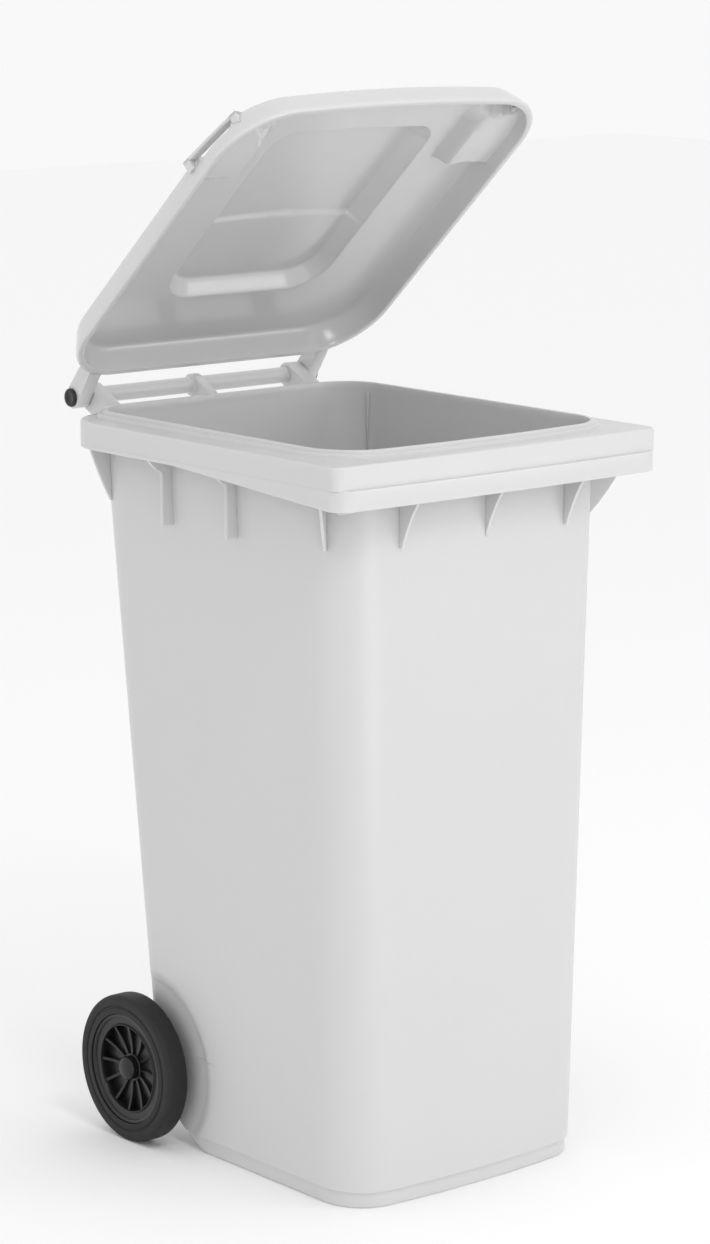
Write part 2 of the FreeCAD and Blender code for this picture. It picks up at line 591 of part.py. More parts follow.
def axle_cap():
    """Domed cap pressed over the end of the axle outside the push-on ring."""
    low = NUT_FROM + NUT_WALL
    radius = AXLE_RADIUS + CAP_LEDGE
    sphere_radius = (radius ** 2 + CAP_RISE ** 2) / (2 * CAP_RISE)
    top = low + CAP_SKIRT + CAP_RISE
    skirt = cylinder_x(radius, low, low + CAP_SKIRT, WHEEL_Y, AXLE_Z)
    dome = Part.makeSphere(sphere_radius, V(top - sphere_radius, WHEEL_Y, AXLE_Z))
    dome = dome.common(cylinder_x(radius, low + CAP_SKIRT, top, WHEEL_Y, AXLE_Z))
    hollow = cylinder_x(AXLE_RADIUS, low - 1, low + CAP_SKIRT, WHEEL_Y, AXLE_Z)
    return skirt.fuse(dome).cut(hollow)


def axle():
    return cylinder_x(AXLE_RADIUS, -AXLE_END, AXLE_END, WHEEL_Y, AXLE_Z)


def washer():
    inside = WHEEL_INSIDE - SIDE_PLAY - WASHER_WALL
    return ring_x(AXLE_RADIUS + WASHER_LEDGE, AXLE_RADIUS, inside, inside + WASHER_WALL)


save("bin_body", make_body())
save("lid", opened(make_lid()))
save("axle", axle())
for side, place in (("right", lambda s: s), ("left", mirrored)):
    save("hinge_pin_" + side, place(hinge_pin()))
    save("washer_" + side, place(washer()))
    save("wheel_core_" + side, place(wheel_core()))
    save("tyre_" + side, place(tyre()))
    save("push_nut_" + side, place(push_nut()))
    save("axle_cap_" + side, place(axle_cap()))
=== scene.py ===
"""Two-wheeled 240 litre wheelie bin with its lid held part open, on a pale studio floor."""
import math

import bpy
import numpy as np
from mathutils import Matrix, Vector


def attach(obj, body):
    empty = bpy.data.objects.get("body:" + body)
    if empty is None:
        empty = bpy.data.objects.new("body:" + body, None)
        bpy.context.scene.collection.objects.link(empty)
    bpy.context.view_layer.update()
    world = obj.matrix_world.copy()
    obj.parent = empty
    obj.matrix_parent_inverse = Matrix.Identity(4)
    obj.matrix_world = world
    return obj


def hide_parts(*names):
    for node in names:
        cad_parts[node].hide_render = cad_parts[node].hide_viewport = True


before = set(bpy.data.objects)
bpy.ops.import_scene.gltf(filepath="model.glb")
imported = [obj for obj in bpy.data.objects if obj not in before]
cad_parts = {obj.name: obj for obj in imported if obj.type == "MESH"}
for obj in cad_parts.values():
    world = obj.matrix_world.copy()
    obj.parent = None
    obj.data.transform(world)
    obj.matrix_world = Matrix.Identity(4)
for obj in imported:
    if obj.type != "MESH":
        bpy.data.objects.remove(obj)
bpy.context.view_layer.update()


# ---- studio ----------------------------------------------------------------------------------
# A matt white paper floor in an even pale surround, which does most of the lighting and keeps the
# shaded side of the plastic light; three softboxes add the highlights on the lid and the tub.
def hex_linear(text):
    """sRGB hex colour as linear RGBA."""
    parts = [int(text[i:i + 2], 16) / 255 for i in (1, 3, 5)]
    lin = [c / 12.92 if c <= 0.04045 else ((c + 0.055) / 1.055) ** 2.4 for c in parts]
    return (*lin, 1.0)


def new_material(name):
    """Empty material with a Principled surface; returns it and its shader."""
    material = bpy.data.materials.new(name)
    material.use_nodes = True
    return material, material.node_tree.nodes["Principled BSDF"]


def mesh_object(name, verts, faces, smooth=40.0):
    """Object from points in millimetres; edges sharper than smooth degrees stay crisp."""
    mesh = bpy.data.meshes.new(name)
    mesh.from_pydata((np.asarray(verts, dtype=float) * 0.001).tolist(), [], faces)
    mesh.validate()
    mesh.update()
    mesh.shade_smooth()
    mesh.set_sharp_from_angle(angle=math.radians(smooth))
    obj = bpy.data.objects.new(name, mesh)
    bpy.context.scene.collection.objects.link(obj)
    return obj


FLOOR_SIZE = 30000.0
paper, paper_shader = new_material("white_paper_sweep_matt")
paper_shader.inputs["Base Color"].default_value = hex_linear("#fcfcfc")
paper_shader.inputs["Roughness"].default_value = 0.9
half_floor = FLOOR_SIZE / 2
floor = mesh_object("studio_floor", [(-half_floor, -half_floor, 0), (half_floor, -half_floor, 0),
                                     (half_floor, half_floor, 0), (-half_floor, half_floor, 0)],
                    [(0, 1, 2, 3)])
floor.data.materials.append(paper)

world = bpy.data.worlds.new("studio_surround")
bpy.context.scene.world = world
world.use_nodes = True
world.node_tree.nodes["Background"].inputs["Color"].default_value = hex_linear("#fcfcfc")
world.node_tree.nodes["Background"].inputs["Strength"].default_value = 0.97
bpy.context.scene.view_settings.view_transform = "Standard"


def softbox(name, place, aim, width, height, watts):
    """Large square light aimed at a point; places in metres."""
    data = bpy.data.lights.new(name, "AREA")
    data.shape = "RECTANGLE"
    data.size, data.size_y = width, height
    data.energy = watts
    light = bpy.data.objects.new(name, data)
    light.location = place
    light.rotation_mode = "QUATERNION"
    light.rotation_quaternion = (Vector(aim) - Vector(place)).to_track_quat("-Z", "Y")
    bpy.context.scene.collection.objects.link(light)


softbox("softbox_front_right", (2.9, -3.6, 2.1), (0, 0, 0.6), 1.1, 1.6, 18)
softbox("softbox_high_front", (-0.7, -2.3, 3.3), (0, 0.1, 0.9), 0.8, 0.8, 17)
softbox("softbox_low_front", (-0.4, -2.6, 0.2), (0, 0, 1.3), 1.4, 0.8, 9)

# ---- camera ----------------------------------------------------------------------------------
# It stands 5.2 m from the bin, in front of its left corner, with its lens 1.75 m above the floor;
# the long lens keeps the sides of the tub nearly parallel.
CAMERA_AIM = Vector((-0.0088, 0.0, 0.7431))
CAMERA_TURN, CAMERA_RISE, CAMERA_AWAY = math.radians(-40.0), math.radians(11.2), 5.1742
camera_back = Vector((math.sin(CAMERA_TURN) * math.cos(CAMERA_RISE),
                      -math.cos(CAMERA_TURN) * math.cos(CAMERA_RISE), math.sin(CAMERA_RISE)))
camera_data = bpy.data.cameras.new("camera")
camera_data.lens = 109.11
camera_data.sensor_width = 36.0
camera = bpy.data.objects.new("camera", camera_data)
camera.location = CAMERA_AIM + camera_back * CAMERA_AWAY
camera.rotation_mode = "QUATERNION"
camera.rotation_quaternion = (-camera_back).to_track_quat("-Z", "Y")
bpy.context.scene.collection.objects.link(camera)
bpy.context.scene.camera = camera


# ---- body moulding ---------------------------------------------------------------------------
# One injection moulding of light grey high-density polyethylene: a tapered tub with a stepped-in
# foot, a rim whose skirt hangs deeper at the front, and a raised collar round the mouth.
def plan_outline(half_width, front, rear, front_corner, rear_corner, bow, corner_steps=14,
                 side_steps=60):
    """Points of a rounded rectangle in plan, anticlockwise from the right front corner's end."""
    def arc(cx, cy, r, start):
        angles = start + np.linspace(0, math.pi / 2, corner_steps + 1)
        return np.stack([cx + r * np.cos(angles), cy + r * np.sin(angles)], 1)
    fr, rr = front_corner, rear_corner
    corners = [arc(half_width - fr, front + fr, fr, -math.pi / 2),
               arc(half_width - rr, rear - rr, rr, 0.0),
               arc(-half_width + rr, rear - rr, rr, math.pi / 2),
               arc(-half_width + fr, front + fr, fr, math.pi)]
    points = []
    for k, corner in enumerate(corners):
        after = corners[(k + 1) % 4]
        along = np.linspace(corner[-1], after[0], side_steps + 1)[1:-1]
        points += [corner, along]
    points = np.concatenate(points)
    flat = half_width - fr
    inside = np.clip(1 - (points[:, 0] / flat) ** 2, 0, 1)
    near_front = points[:, 1] < front + 0.001
    points[:, 1] -= np.where(near_front, bow * inside, 0)
    return points


def stack_rings(rings, close_low=False, close_high=False):
    """Quads between rings of equal length; ends may be closed towards their middle."""
    rings = [np.asarray(r, dtype=float) for r in rings]
    if close_low:
        middle = rings[0].mean(0)
        rings = [middle + (rings[0] - middle) * t for t in (0.02, 0.3, 0.6, 0.85)] + rings
    if close_high:
        middle = rings[-1].mean(0)
        rings = rings + [middle + (rings[-1] - middle) * t for t in (0.85, 0.6, 0.3, 0.02)]
    count = len(rings[0])
    faces = []
    for k in range(len(rings) - 1):
        a, b = k * count, (k + 1) * count
        faces += [(a + i, a + (i + 1) % count, b + (i + 1) % count, b + i) for i in range(count)]
    if close_low:
        faces.append(tuple(reversed(range(count))))
    if close_high:
        faces.append(tuple(range((len(rings) - 1) * count, len(rings) * count)))
    return np.concatenate(rings), faces


def ring_at(outline, z):
    """Ring of 3-D points from a plan outline and a height or heights."""
    return np.column_stack([outline, np.broadcast_to(z, len(outline))])


RIM_TOP, RIM_UNDERSIDE = 1018.0, 1014.0
RIM_HALF_WIDTH, RIM_FRONT, RIM_REAR = 282.5, -295.0, 308.0
RIM_FRONT_CORNER, RIM_REAR_CORNER, RIM_BOW = 26.0, 76.0, 5.0
COMB_PROUD, COMB_STEP, COMB_CORNER_LOSS = 6.0, 31.0, 12.0
SKIRT_FRONT, SKIRT_REAR = 58.0, 37.0
SKIRT_DROP_START, SKIRT_DROP_END = 50.0, RIM_FRONT + 19.0
BODY_WALL, WALL_BOW = 4.5, 6.5
FOOT = dict(half_width=212.0, front=-244.0, rear=216.0, front_corner=71.0, rear_corner=58.0)
MOUTH = dict(half_width=239.0, front=-253.0, rear=303.0, front_corner=76.0, rear_corner=62.0)
AXLE_Y, AXLE_Z = 203.0, 105.0
CHANNEL_FRONT, CHANNEL_TOP, CHANNEL_FADE, CHANNEL_CORNER = 177.0, 131.0, 6.0, 26.0
HEEL_FRONT, HEEL_RISE = 106.0, 62.0
DISH_RADIUS, DISH_FLOOR, DISH_SOFT, DISH_START = 123.0, 208.0, 8.0, 40.0
FOOT_BAND, FOOT_BAND_INSET = 23.0, 4.0


def wall_outline(z, inset):
    """Outline of the body at a height, with the rise over the heel and the axle channel."""
    t = z / RIM_TOP
    size = {k: FOOT[k] + (MOUTH[k] - FOOT[k]) * t for k in FOOT}
    rear = size["rear"]
    if z < HEEL_RISE:
        rise = max(z, 0.0) / HEEL_RISE
        rear = HEEL_FRONT + (CHANNEL_FRONT - HEEL_FRONT) * math.sin(rise * math.pi / 2) ** 0.9
    elif z < AXLE_Z:
        rear = CHANNEL_FRONT
    elif z < CHANNEL_TOP:
        rear = CHANNEL_FRONT + (AXLE_Y - CHANNEL_FRONT) * (z - AXLE_Z) / (CHANNEL_TOP - AXLE_Z)
    elif z < CHANNEL_TOP + CHANNEL_FADE:
        rear = AXLE_Y + (size["rear"] - AXLE_Y) * (z - CHANNEL_TOP) / CHANNEL_FADE
    corner = size["rear_corner"] if z >= CHANNEL_TOP + CHANNEL_FADE else CHANNEL_CORNER
    return plan_outline(size["half_width"] - inset, size["front"] + inset, rear - inset,
                        size["front_corner"] - inset, max(corner - inset, 4.0), WALL_BOW)


def wall_ring(z, inset, dish=0.0):
    """Ring on the body wall, dished in behind each wheel; the dish's edges are softened."""
    points = wall_outline(z, inset)
    away = np.hypot(points[:, 1] - AXLE_Y, z - AXLE_Z)
    limit = DISH_FLOOR - dish + (away - DISH_RADIUS)
    limit = np.where(away < DISH_RADIUS, DISH_FLOOR - dish, limit)
    sides = np.abs(points[:, 0])
    blend = np.minimum(sides, limit)
    soft = np.clip((sides - limit + DISH_SOFT) / (2 * DISH_SOFT), 0, 1)
    near_edge = np.abs(sides - limit) < DISH_SOFT
    blend = np.where(near_edge, sides - DISH_SOFT * soft * soft, blend)
    points[:, 0] = np.sign(points[:, 0]) * np.where(points[:, 1] > DISH_START, blend, sides)
    return ring_at(points, z)


def rim_ring(inset, z, step_back=0.0):
    """Ring on the rim, its front set back above the comb band."""
    loss = COMB_CORNER_LOSS * step_back / COMB_PROUD
    corner = max(RIM_FRONT_CORNER - loss - inset, 4.0)
    return ring_at(plan_outline(RIM_HALF_WIDTH - inset, RIM_FRONT + step_back + inset,
                                RIM_REAR - inset, corner, RIM_REAR_CORNER - inset, RIM_BOW), z)


def skirt_bottom(ring, lift=0.0):
    """Lowers a ring to the skirt's edge, which drops towards the front."""
    t = np.clip((SKIRT_DROP_START - ring[:, 1]) / (SKIRT_DROP_START - SKIRT_DROP_END), 0, 1)
    ring[:, 2] = RIM_TOP - SKIRT_REAR - (SKIRT_FRONT - SKIRT_REAR) * t + lift
    return ring


def collar_ring(reach, z):
    """Ring round the mouth, set out from the tub's wall line by reach."""
    size = MOUTH
    return ring_at(plan_outline(size["half_width"] + reach, size["front"] - reach,
                                size["rear"] + reach, size["front_corner"] + reach,
                                size["rear_corner"] + reach, WALL_BOW), z)


# The tub's outside, from the foot up: foot band, step, axle channel, then the straight wall.
body_rings = [wall_ring(0.0, 10.0), wall_ring(0.0, 6.0), wall_ring(1.2, 4.6), wall_ring(4.0, 4.0)]
body_rings += [wall_ring(z, FOOT_BAND_INSET) for z in (12.0, FOOT_BAND - 1.4, FOOT_BAND - 0.5)]
body_rings += [wall_ring(FOOT_BAND - 0.1, 3.5), wall_ring(FOOT_BAND, 1.0)]
body_rings += [wall_ring(FOOT_BAND + 0.3, 0.3), wall_ring(FOOT_BAND + 1.0, 0.0)]
body_rings += [wall_ring(z, 0.0) for z in np.arange(27.0, 131.0, 4.0)]
body_rings += [wall_ring(z, 0.0) for z in (131.0, 132.0, 133.5, 135.5, 137.0)]
body_rings += [wall_ring(z, 0.0) for z in np.arange(141.0, 290.0, 5.0)]
body_rings += [wall_ring(z, 0.0) for z in np.linspace(290.0, 1004.0, 30)]
body_rings += [wall_ring(1011.0, -0.6), wall_ring(1013.6, -3.0)]
# Out under the rim, down the inside of its skirt, round the skirt's edge and up to the comb step.
body_rings += [rim_ring(9.0, RIM_UNDERSIDE, COMB_PROUD), rim_ring(5.0, 1013.0, COMB_PROUD)]
body_rings += [rim_ring(4.2, 1010.0, COMB_PROUD), rim_ring(4.0, 988.0, COMB_PROUD)]
body_rings += [rim_ring(4.0, 986.0)]
body_rings += [skirt_bottom(rim_ring(4.0, 0), 0.8), skirt_bottom(rim_ring(3.2, 0))]
body_rings += [skirt_bottom(rim_ring(0.8, 0)), skirt_bottom(rim_ring(0.0, 0), 0.9)]
body_rings += [skirt_bottom(rim_ring(0.0, 0), 4.0)]
body_rings += [rim_ring(0.0, RIM_TOP - COMB_STEP - 1.4), rim_ring(0.5, RIM_TOP - COMB_STEP - 0.3)]
body_rings += [rim_ring(0.4, RIM_TOP - COMB_STEP + 0.2, 1.5)]
body_rings += [rim_ring(0.2, RIM_TOP - COMB_STEP + 0.3, COMB_PROUD - 0.6)]
body_rings += [rim_ring(0.0, RIM_TOP - COMB_STEP + 1.2, COMB_PROUD)]
# Up the comb band, over the rim's deck and the collar; the collar's rear stays inside the rim.
body_rings += [rim_ring(0.0, RIM_TOP - 3.6, COMB_PROUD), rim_ring(0.5, RIM_TOP - 1.7, COMB_PROUD)]
body_rings += [rim_ring(1.7, RIM_TOP - 0.5, COMB_PROUD), rim_ring(3.6, RIM_TOP, COMB_PROUD)]
body_rings.append(collar_ring(13.0, RIM_TOP))
body_rings[-1][:, 1] = np.minimum(body_rings[-1][:, 1], RIM_REAR - 3.7)
COLLAR_PROFILE = [(11.0, 0.2), (9.6, 1.0), (9.0, 2.4), (8.7, 4.0), (7.9, 4.8), (6.6, 5.1),
                  (3.6, 5.4), (2.3, 5.9), (1.6, 7.0), (1.3, 8.6), (0.6, 9.6), (-0.6, 10.0),
                  (-2.8, 10.0), (-4.0, 9.5), (-4.5, 8.4)]
for reach, rise in COLLAR_PROFILE:
    ring = collar_ring(reach, RIM_TOP + rise)
    ring[:, 1] = np.minimum(ring[:, 1], RIM_REAR - 3.8 + 0.01 * reach)
    body_rings.append(ring)
# Down the inside of the tub to its floor.
body_rings += [wall_ring(z, BODY_WALL) for z in (RIM_TOP, RIM_TOP - 6.0)]
body_rings += [wall_ring(z, BODY_WALL, BODY_WALL) for z in np.linspace(990.0, 290.0, 22)]
body_rings += [wall_ring(z, BODY_WALL, BODY_WALL) for z in np.arange(280.0, 142.0, -8.0)]
body_rings += [wall_ring(z, BODY_WALL, BODY_WALL) for z in (141.6, 140.2, 138.5, 136.0)]
body_rings += [wall_ring(z, BODY_WALL + 2.5, BODY_WALL) for z in np.arange(130.0, 20.0, -8.0)]
body_rings += [wall_ring(10.0, BODY_WALL + 4.0, BODY_WALL), wall_ring(6.4, BODY_WALL + 9.0)]
body_rings += [wall_ring(6.0, BODY_WALL + 14.0)]
body_verts, body_faces = stack_rings(body_rings, close_low=True, close_high=True)


# Ribs, gussets and brackets are part of the same moulding, 4 mm thick, and run into the wall.
def plate(outline, thickness, bevel=0.0):
    """Flat plate from (u, v) points, standing along the third axis, with bevelled edges."""
    outline = np.asarray(outline, dtype=float)
    middle = outline.mean(0)
    half = thickness / 2
    rings = []
    for w, pull in ((-half, bevel), (-half + bevel, 0), (half - bevel, 0), (half, bevel)):
        away = outline - middle
        length = np.linalg.norm(away, axis=1, keepdims=True)
        rings.append(np.column_stack([outline - away / length * pull,
                                      np.full(len(outline), w)]))
    count = len(outline)
    faces = []
    for k in range(3):
        a, b = k * count, (k + 1) * count
        faces += [(a + i, a + (i + 1) % count, b + (i + 1) % count, b + i) for i in range(count)]
    faces += [tuple(reversed(range(count))), tuple(range(3 * count, 4 * count))]
    return np.concatenate(rings), faces


def join_parts(parts):
    """One point and face list from several."""
    verts, faces, start = [], [], 0
    for points, quads in parts:
        verts.append(points)
        faces += [tuple(i + start for i in face) for face in quads]
        start += len(points)
    return np.concatenate(verts), faces


def along_x(part, x):
    """Turns a plate drawn as (y, z) to stand across X at x."""
    points, faces = part
    return np.column_stack([points[:, 2] + x, points[:, 0], points[:, 1]]), faces


def along_y(part, y):
    """Turns a plate drawn as (x, z) to stand across Y at y."""
    points, faces = part
    return np.column_stack([points[:, 0], y - points[:, 2], points[:, 1]]), faces


def mirror_x(part):
    """The same part on the other side of the bin."""
    points, faces = part
    return points * (-1, 1, 1), [tuple(reversed(face)) for face in faces]


def curved(start, end, sag, steps=8):
    """Points from start to end on a shallow curve that sags to one side."""
    start, end = np.asarray(start, float), np.asarray(end, float)
    across = np.array([-(end - start)[1], (end - start)[0]])
    across /= np.linalg.norm(across)
    t = np.linspace(0, 1, steps)[:, None]
    return list(start + (end - start) * t + across * sag * 4 * t * (1 - t))


RIB_WALL, RIB_BEVEL = 4.0, 0.7
GUSSET_PITCH, GUSSET_TIP, GUSSET_ROOT, MIDDLE_GUSSET_OUT = 145.0, 896.0, -250.5, 5.5
SKIRT_IN_FRONT, SKIRT_LOW = RIM_FRONT + 3.0, RIM_TOP - SKIRT_FRONT
body_parts = [(body_verts, body_faces)]
front_gusset = [(GUSSET_ROOT, RIM_UNDERSIDE), (SKIRT_IN_FRONT + 4.0, RIM_UNDERSIDE),
                (SKIRT_IN_FRONT, SKIRT_LOW + 2.0)]
front_gusset += curved((SKIRT_IN_FRONT, SKIRT_LOW + 2.0), (-258.6, GUSSET_TIP), 2.6)
front_gusset += [(GUSSET_ROOT, GUSSET_TIP)]
for k in (-1, 0, 1):
    points, faces = along_x(plate(front_gusset, RIB_WALL, RIB_BEVEL), k * GUSSET_PITCH)
    # the wall bows forward most at the middle, so the middle gusset's root follows it out
    points[points[:, 1] > GUSSET_ROOT - 1.5, 1] -= 0.0 if k else MIDDLE_GUSSET_OUT
    body_parts.append((points, faces))

CORNER_X, CORNER_Y, CORNER_REACH, CORNER_TURN = 232.0, -206.0, 49.0, math.radians(-43.0)
corner_gusset = [(0.0, RIM_UNDERSIDE), (CORNER_REACH, RIM_UNDERSIDE)]
corner_gusset += [(CORNER_REACH, SKIRT_LOW + 5.0)]
corner_gusset += curved((CORNER_REACH, SKIRT_LOW + 5.0), (4.0, GUSSET_TIP), 2.4)
corner_gusset += [(0.0, GUSSET_TIP)]
points, faces = plate(corner_gusset, RIB_WALL, RIB_BEVEL)
out_x, out_y = math.cos(CORNER_TURN), math.sin(CORNER_TURN)
points = np.column_stack([CORNER_X + points[:, 0] * out_x + points[:, 2] * out_y,
                          CORNER_Y + points[:, 0] * out_y - points[:, 2] * out_x,
                          points[:, 1]])
body_parts += [(points, faces), mirror_x((points, faces))]

SIDE_RIB_FOOT, SIDE_RIB_REAR, SIDE_RIB_PITCH = 889.0, 114.0, 140.0
rib_wall_x = FOOT["half_width"] + 27.0 * SIDE_RIB_FOOT / RIM_TOP
side_rib = [(rib_wall_x + 1.6, RIM_UNDERSIDE), (277.0, RIM_UNDERSIDE), (277.0, 982.0)]
side_rib += curved((277.0, 982.0), (rib_wall_x + 17.0, 961.0), 2.0)
side_rib += [(rib_wall_x + 17.0, SIDE_RIB_FOOT), (rib_wall_x - 1.0, SIDE_RIB_FOOT)]
for y in (SIDE_RIB_REAR, SIDE_RIB_REAR - SIDE_RIB_PITCH):
    rib = along_y(plate(side_rib, RIB_WALL + 2.0, 1.2), y)
    body_parts += [rib, mirror_x(rib)]
rear_gusset = [(228.0, RIM_UNDERSIDE), (269.0, RIM_UNDERSIDE), (269.0, 983.0)]
rear_gusset += curved((269.0, 983.0), (rib_wall_x - 2.0, 904.0), 2.0) + [(228.0, 904.0)]
REAR_GUSSET_Y, CORNER_WEB_Y = 256.0, -263.0
rib = along_y(plate(rear_gusset, RIB_WALL, RIB_BEVEL), REAR_GUSSET_Y)
body_parts += [rib, mirror_x(rib)]
corner_web = [(230.5, 953.0), (258.5, 953.0), (258.5, RIM_UNDERSIDE), (230.5, RIM_UNDERSIDE)]
web = along_y(plate(corner_web, RIB_WALL, 0.6), CORNER_WEB_Y)
body_parts += [web, mirror_x(web)]


# Hinge brackets run back from the rim; the round handle bar between them has a ring at its middle.
def tapered_arm(root_low, root_high, centre, radius, steps=20):
    """Outline of an arm from a flat root to a round boss, in (y, z)."""
    root_low, root_high, centre = map(np.asarray, (root_low, root_high, centre))

    def tangent(p, side):
        d = p - centre
        return math.atan2(d[1], d[0]) + side * math.acos(radius / np.hypot(*d))

    a_high, a_low = tangent(root_high, -1), tangent(root_low, 1)
    if a_low > a_high:
        a_low -= 2 * math.pi
    angles = np.linspace(a_high, a_low, steps)
    arc = [centre + radius * np.array([math.cos(a), math.sin(a)]) for a in angles]
    return [root_low, root_high] + arc


def ring_x(profile, y, z, steps=64):
    """Solid of revolution about an axis along X from closed (x, radius) points."""
    profile = np.asarray(profile, dtype=float)
    angles = np.linspace(0, 2 * math.pi, steps, endpoint=False)
    points = [np.column_stack([profile[:, 0], y + profile[:, 1] * math.cos(a),
                               z + profile[:, 1] * math.sin(a)]) for a in angles]
    count = len(profile)
    faces = []
    for k in range(steps):
        a, b = k * count, (k + 1) % steps * count
        faces += [(a + i, a + (i + 1) % count, b + (i + 1) % count, b + i) for i in range(count)]
    return np.concatenate(points), faces


HINGE_Y, HINGE_Z = 369.0, 1033.0
LUG_INSIDE, LUG_WIDTH, LUG_RADIUS, LUG_ROOT = 168.0, 24.0, 17.8, 303.0
BAR_RADIUS, BAR_HALF, CLIP_RADIUS = 11.5, 170.0, 15.6
lug = tapered_arm((LUG_ROOT, 984.0), (LUG_ROOT, 1017.0), (HINGE_Y, HINGE_Z), LUG_RADIUS)
lug_part = along_x(plate(lug, LUG_WIDTH, 1.8), LUG_INSIDE + LUG_WIDTH / 2)
body_parts += [lug_part, mirror_x(lug_part)]
centre_web = tapered_arm((LUG_ROOT, 990.0), (LUG_ROOT, 1016.0), (HINGE_Y, HINGE_Z), 15.8)
body_parts.append(along_x(plate(centre_web, 13.8, 2.2), 0.0))
bar_profile = [(-BAR_HALF, 0.1), (-BAR_HALF, BAR_RADIUS), (-10.0, BAR_RADIUS), (-8.6, 13.6),
               (-7.0, CLIP_RADIUS), (7.0, CLIP_RADIUS), (8.6, 13.6), (10.0, BAR_RADIUS),
               (BAR_HALF, BAR_RADIUS), (BAR_HALF, 0.1)]
body_parts.append(ring_x(bar_profile, HINGE_Y, HINGE_Z))

# The axle runs through four lugs in the channel and a round boss outside each outer lug.
AXLE_LUGS = [(182.0, 208.0), (60.0, 70.0)]
AXLE_LUG_ROOT, AXLE_BOSS_RADIUS = 173.5, 20.0
axle_lug = [(AXLE_LUG_ROOT, 135.0), (AXLE_Y, 138.0), (AXLE_Y + AXLE_BOSS_RADIUS, AXLE_Z)]
axle_lug += [(AXLE_Y + AXLE_BOSS_RADIUS * math.cos(a), AXLE_Z + AXLE_BOSS_RADIUS * math.sin(a))
             for a in np.linspace(-0.2, -1.25, 10)]
axle_lug += [(AXLE_LUG_ROOT, 71.0)]
for low, high in AXLE_LUGS:
    part = along_x(plate(axle_lug, high - low, 1.5), (low + high) / 2)
    body_parts += [part, mirror_x(part)]
boss = ring_x([(184.0, 10.2), (184.0, AXLE_BOSS_RADIUS), (223.2, AXLE_BOSS_RADIUS),
               (224.1, 19.1), (224.1, 10.2)], AXLE_Y, AXLE_Z)
body_parts += [boss, mirror_x(boss)]
bin_body = mesh_object("bin_body_moulding", *join_parts(body_parts))


def add_node(material, kind, links=(), outputs=(), **settings):
    """Adds a node; settings are properties or socket values, links are (input, from socket)."""
    node = material.node_tree.nodes.new(kind)
    for key, value in settings.items():
        if hasattr(node, key):
            setattr(node, key, value)
        else:
            node.inputs[key.replace("__", " ")].default_value = value
    for name, source in links:
        material.node_tree.links.new(source, node.inputs[name])
    for source, target in outputs:
        material.node_tree.links.new(node.outputs[source], target)
    return node


def colour_between(material, shader, source, low, high):
    """Mixes the base colour between two hex colours by a 0 to 1 socket."""
    mix = add_node(material, "ShaderNodeMix", links=[("Factor", source)], data_type="RGBA")
    # inputs 6 and 7 and output 2 are the colour sockets of the Mix node
    mix.inputs[6].default_value = hex_linear(low)
    mix.inputs[7].default_value = hex_linear(high)
    material.node_tree.links.new(mix.outputs[2], shader.inputs["Base Color"])


def rough_between(material, shader, source, low, high):
    """Varies the roughness between two values by a 0 to 1 socket."""
    add_node(material, "ShaderNodeMapRange", links=[("Value", source)],
             outputs=[("Result", shader.inputs["Roughness"])], To__Min=low, To__Max=high)


def bump_from(material, shader, source, strength, depth):
    """Raises the surface by a socket; depth in metres."""
    add_node(material, "ShaderNodeBump", links=[("Height", source)],
             outputs=[("Normal", shader.inputs["Normal"])], Strength=strength, Distance=depth)


# Injection-moulded polyethylene: waxy semi-gloss, with the fine spark texture of the tool and slow
# tone drift where the melt cooled; the texture is drawn at 2.4 mm, about twice real, to show.
def moulded_polyethylene(name, colour, darker, roughness):
    """Moulded polyethylene of one colour, drifting towards a darker one."""
    material, shader = new_material(name)
    place = add_node(material, "ShaderNodeTexCoord").outputs["Object"]
    drift = add_node(material, "ShaderNodeTexNoise", links=[("Vector", place)], Scale=2.2,
                     Detail=2.0, Roughness=0.5)
    colour_between(material, shader, drift.outputs["Fac"], darker, colour)
    scuff = add_node(material, "ShaderNodeTexNoise", links=[("Vector", place)], Scale=26.0,
                     Detail=5.0, Roughness=0.6)
    rough_between(material, shader, scuff.outputs["Fac"], roughness - 0.05, roughness + 0.07)
    spark = add_node(material, "ShaderNodeTexNoise", links=[("Vector", place)], Scale=1 / 0.0024,
                     Detail=2.0)
    bump_from(material, shader, spark.outputs["Fac"], 0.10, 0.0004)
    shader.inputs["IOR"].default_value = 1.54
    shader.inputs["Subsurface Weight"].default_value = 0.3
    shader.inputs["Subsurface Radius"].default_value = (1.0, 1.0, 1.0)
    shader.inputs["Subsurface Scale"].default_value = 0.008
    return material


body_plastic = moulded_polyethylene("hdpe_light_grey_moulded", "#cfcfcf", "#cbcbcb", 0.34)
bin_body.data.materials.append(body_plastic)
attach(bin_body, "bin")
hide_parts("bin_body")


# ---- lid -------------------------------------------------------------------------------------
# One injection moulding of the same polyethylene with a smoother surface: a turned-in free edge,
# a flat crown with a raised panel, and a finger recess under a grip strap near each front corner.
# Its two rear arms swing on the hinge pins.
LID_OPEN = math.radians(42.0)
LID_EDGE, LID_HALF_WIDTH, LID_FRONT, LID_REAR = 1031.0, 271.0, -257.0, 319.0
PANEL_FRONT, PANEL_REAR, PANEL_HALF = HINGE_Y - 530.0, HINGE_Y - 168.0, 142.5
GRIP_FRONT, GRIP_REAR, GRIP_SLANT, GRIP_STRAP = -213.0, -109.0, 24.0, 16.0
GRIP_LOW, GRIP_THICKNESS, GRIP_FOOT_TOP, GRIP_FOOT_SHARE = 34.0, 5.0, 38.8, 0.1
PANEL_RISE, PANEL_STEP, PANEL_STEP_Y, PANEL_STEP_BOW = 22.0, 5.0, HINGE_Y - 310.0, 7.0
RECESS_FLOOR, RECESS_SKIN = 21.0, 3.8
